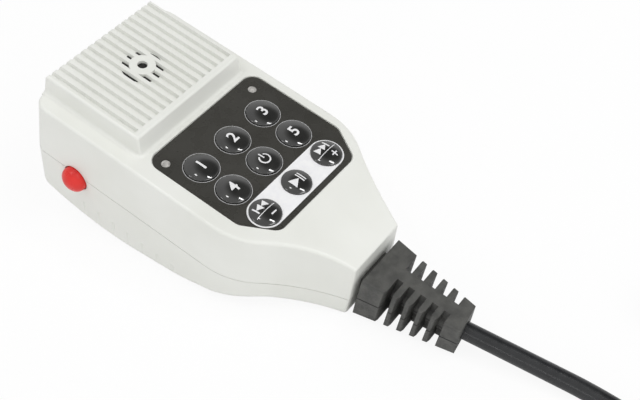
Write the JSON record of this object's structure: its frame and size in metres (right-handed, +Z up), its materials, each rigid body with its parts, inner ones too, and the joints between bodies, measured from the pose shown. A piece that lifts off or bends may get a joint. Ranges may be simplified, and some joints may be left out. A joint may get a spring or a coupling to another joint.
{
  "type": "hand microphone",
  "caption": "Hand microphone lying on its back, with a keypad, a ribbed grille, a red side button for talking, and a round cord that ends in a screw plug.",
  "frame": {"origin": "middle of the flat of the belly, on the table it rests on", "axes": "+Z up from the table, +Y towards the head, +X to the right seen from the front; the face looks up, tilted towards the cord"},
  "size_m": [0.0977, 0.3182, 0.0574],
  "materials": {
    "shell_white": "satin",
    "overlay_dark": "satin",
    "key_black": "gloss",
    "ptt_red": "gloss",
    "lamp": "gloss",
    "rubber_black": "matte",
    "cord_black": "satin",
    "board_green": "satin",
    "switch_black": "matte",
    "steel": "satin",
    "cloth_black": "matte",
    "capsule_metal": "satin",
    "plug_chrome": "polished",
    "insert_black": "matte",
    "contact_brass": "polished"
  },
  "bodies": {
    "housing": {"front_shell": "shell_white", "back_shell": "shell_white", "keypad_overlay": "overlay_dark", "indicator_lamps": "lamp", "keypad_board": "board_green", "tact_switches": "switch_black", "board_screws": "steel", "case_screws": "steel", "dust_screen": "cloth_black", "capsule_holder": "rubber_black", "mic_capsule": "capsule_metal", "ptt_switch": "switch_black", "audio_board": "board_green", "audio_screws": "steel", "strain_relief": "rubber_black", "cord_end": "cord_black", "cord_clamp": "steel", "clamp_screws": "steel", "cord": "cord_black", "cord_coil": "cord_black", "cord_tail": "cord_black", "plug_shell": "plug_chrome", "plug_saddle": "plug_chrome", "plug_screws": "steel", "plug_insert": "insert_black", "plug_contacts": "contact_brass"},
    "key_1": {"key_1": "key_black"},
    "key_2": {"key_2": "key_black"},
    "key_3": {"key_3": "key_black"},
    "key_4": {"key_4": "key_black"},
    "key_5": {"key_5": "key_black"},
    "key_6": {"key_6": "key_black"},
    "key_down": {"key_down": "key_black"},
    "key_play": {"key_play": "key_black"},
    "key_up": {"key_up": "key_black"},
    "ptt_button": {"ptt_button": "ptt_red"},
    "coupling_ring": {"coupling_ring": "plug_chrome"}
  },
  "joints": [
    {"name": "key_1_press", "type": "slide", "parent": "housing", "child": "key_1", "axis": [0, 0.1702, -0.9854], "range_m": [0, 0.0004], "stiffness_N_per_m": 1500},
    {"name": "key_2_press", "type": "slide", "parent": "housing", "child": "key_2", "axis": [0, 0.1702, -0.9854], "range_m": [0, 0.0004], "stiffness_N_per_m": 1500},
    {"name": "key_3_press", "type": "slide", "parent": "housing", "child": "key_3", "axis": [0, 0.1702, -0.9854], "range_m": [0, 0.0004], "stiffness_N_per_m": 1500},
    {"name": "key_4_press", "type": "slide", "parent": "housing", "child": "key_4", "axis": [0, 0.1702, -0.9854], "range_m": [0, 0.0004], "stiffness_N_per_m": 1500},
    {"name": "key_5_press", "type": "slide", "parent": "housing", "child": "key_5", "axis": [0, 0.1702, -0.9854], "range_m": [0, 0.0004], "stiffness_N_per_m": 1500},
    {"name": "key_6_press", "type": "slide", "parent": "housing", "child": "key_6", "axis": [0, 0.1702, -0.9854], "range_m": [0, 0.0004], "stiffness_N_per_m": 1500},
    {"name": "key_down_press", "type": "slide", "parent": "housing", "child": "key_down", "axis": [0, 0.1702, -0.9854], "range_m": [0, 0.0004], "stiffness_N_per_m": 1500},
    {"name": "key_play_press", "type": "slide", "parent": "housing", "child": "key_play", "axis": [0, 0.1702, -0.9854], "range_m": [0, 0.0004], "stiffness_N_per_m": 1500},
    {"name": "key_up_press", "type": "slide", "parent": "housing", "child": "key_up", "axis": [0, 0.1702, -0.9854], "range_m": [0, 0.0004], "stiffness_N_per_m": 1500},
    {"name": "ptt_press", "type": "slide", "parent": "housing", "child": "ptt_button", "axis": [1, 0, 0], "range_m": [0, 0.0015], "stiffness_N_per_m": 1200},
    {"name": "coupling_turn", "type": "hinge", "parent": "housing", "child": "coupling_ring", "pos_m": [0.051, -0.1596, 0.0096], "axis": [0, 1, 0], "continuous": true}
  ]
}
